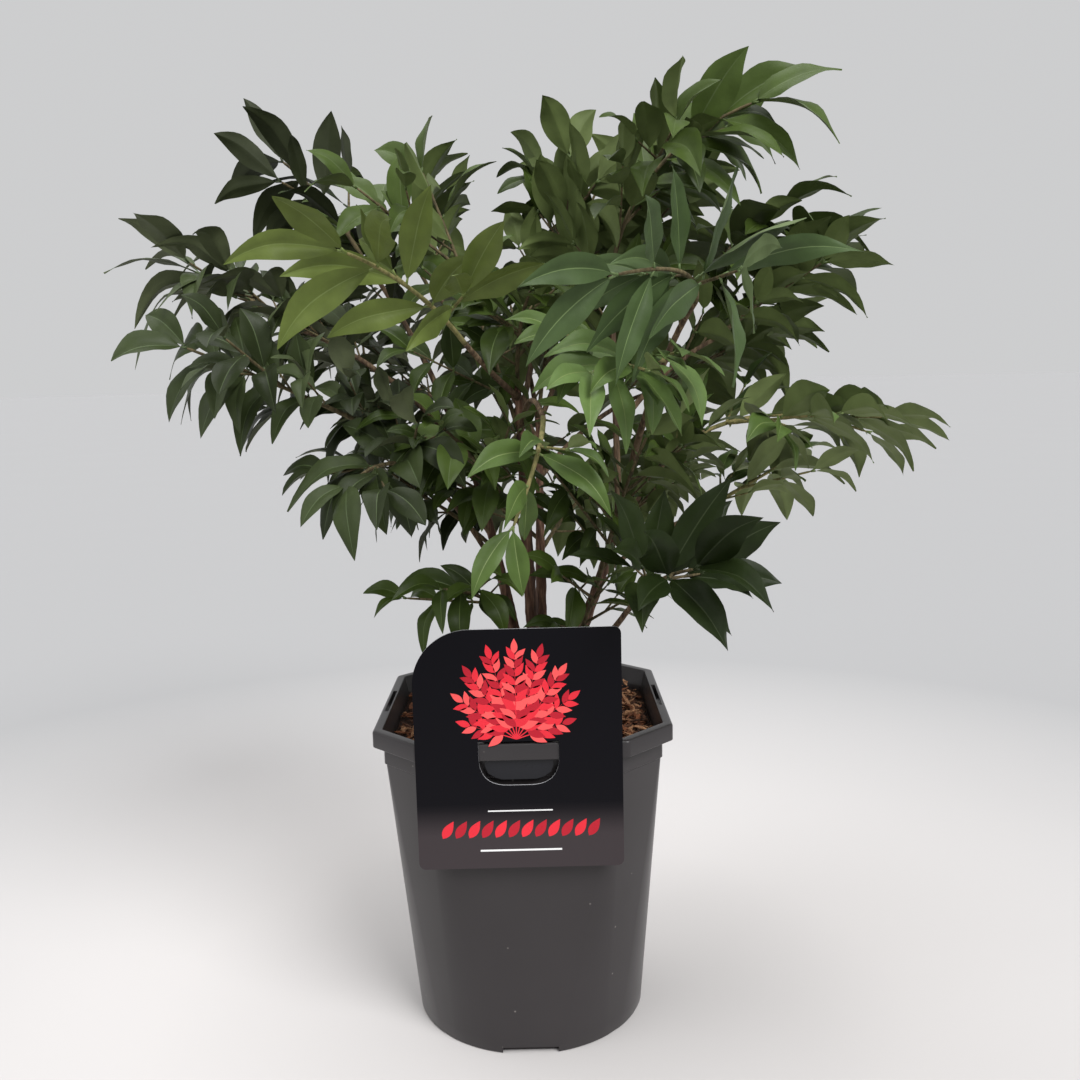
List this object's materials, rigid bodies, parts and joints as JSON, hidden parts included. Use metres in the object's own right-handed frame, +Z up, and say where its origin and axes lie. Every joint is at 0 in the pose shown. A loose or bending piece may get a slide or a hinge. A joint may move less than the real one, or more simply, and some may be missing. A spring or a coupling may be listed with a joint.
{
  "type": "potted burning bush",
  "caption": "Young shrub with arching shoots of paired pointed leaves, in a dark nursery pot with bark mulch and a hanging card label.",
  "frame": {"origin": "middle of the pot's flat underside", "axes": "+Z up along the pot's axis, -Y towards the side with the card label, +X to the right seen from that side"},
  "size_m": [0.5167, 0.4464, 0.6009],
  "materials": {
    "pot_plastic": "moulded dark taupe plastic with a soft sheen",
    "bark_mulch": "loose shredded bark fibres and chips",
    "card_plastic": "thin glossy black printed card",
    "stem_bark": "brown ribbed bark with corky ridges",
    "leaf_dark": "dark green satin leaves",
    "leaf_green": "mid green satin leaves",
    "leaf_bright": "yellow-green satin leaves",
    "leaf_pale": "light green satin leaves",
    "leaf_blue": "blue-green satin leaves"
  },
  "bodies": {
    "root": {"pot": "pot_plastic", "mulch": "bark_mulch", "card_label": "card_plastic", "root_collar": "stem_bark", "left_stem": "stem_bark", "middle_stem": "stem_bark", "right_stem": "stem_bark", "back_stem": "stem_bark", "low_right_bough": "stem_bark", "left_high_bough": "stem_bark", "far_left_bough": "stem_bark", "left_mid_bough": "stem_bark", "left_low_bough": "stem_bark", "front_left_bough": "stem_bark", "top_leader": "stem_bark", "right_leader": "stem_bark", "right_high_bough": "stem_bark", "right_mid_bough": "stem_bark", "right_low_bough": "stem_bark", "right_under_bough": "stem_bark", "front_right_bough": "stem_bark", "front_low_bough": "stem_bark", "back_left_high_bough": "stem_bark", "back_left_bough": "stem_bark", "back_bough": "stem_bark", "back_right_high_bough": "stem_bark", "back_right_bough": "stem_bark", "left_top_foliage": "leaf_dark", "far_left_foliage": "leaf_dark", "left_mid_foliage": "leaf_dark", "left_low_foliage": "leaf_dark", "left_inner_foliage": "leaf_dark", "left_under_foliage": "leaf_dark", "low_left_foliage": "leaf_dark", "front_left_foliage": "leaf_bright", "centre_left_foliage": "leaf_green", "top_middle_foliage": "leaf_green", "upper_left_foliage": "leaf_green", "centre_high_foliage": "leaf_green", "centre_right_foliage": "leaf_green", "top_right_foliage": "leaf_green", "right_high_foliage": "leaf_green", "right_mid_foliage": "leaf_green", "right_low_foliage": "leaf_green", "right_under_foliage": "leaf_pale", "right_inner_foliage": "leaf_green", "front_right_foliage": "leaf_blue", "centre_pale_foliage": "leaf_pale", "centre_leafy_foliage": "leaf_pale", "low_right_foliage": "leaf_dark", "back_left_top_foliage": "leaf_green", "back_left_foliage": "leaf_dark", "back_middle_foliage": "leaf_dark", "back_right_top_foliage": "leaf_green", "back_right_foliage": "leaf_green", "back_left_low_foliage": "leaf_dark", "back_right_low_foliage": "leaf_green", "back_top_foliage": "leaf_green", "low_middle_foliage": "leaf_green"}
  },
  "joints": []
}
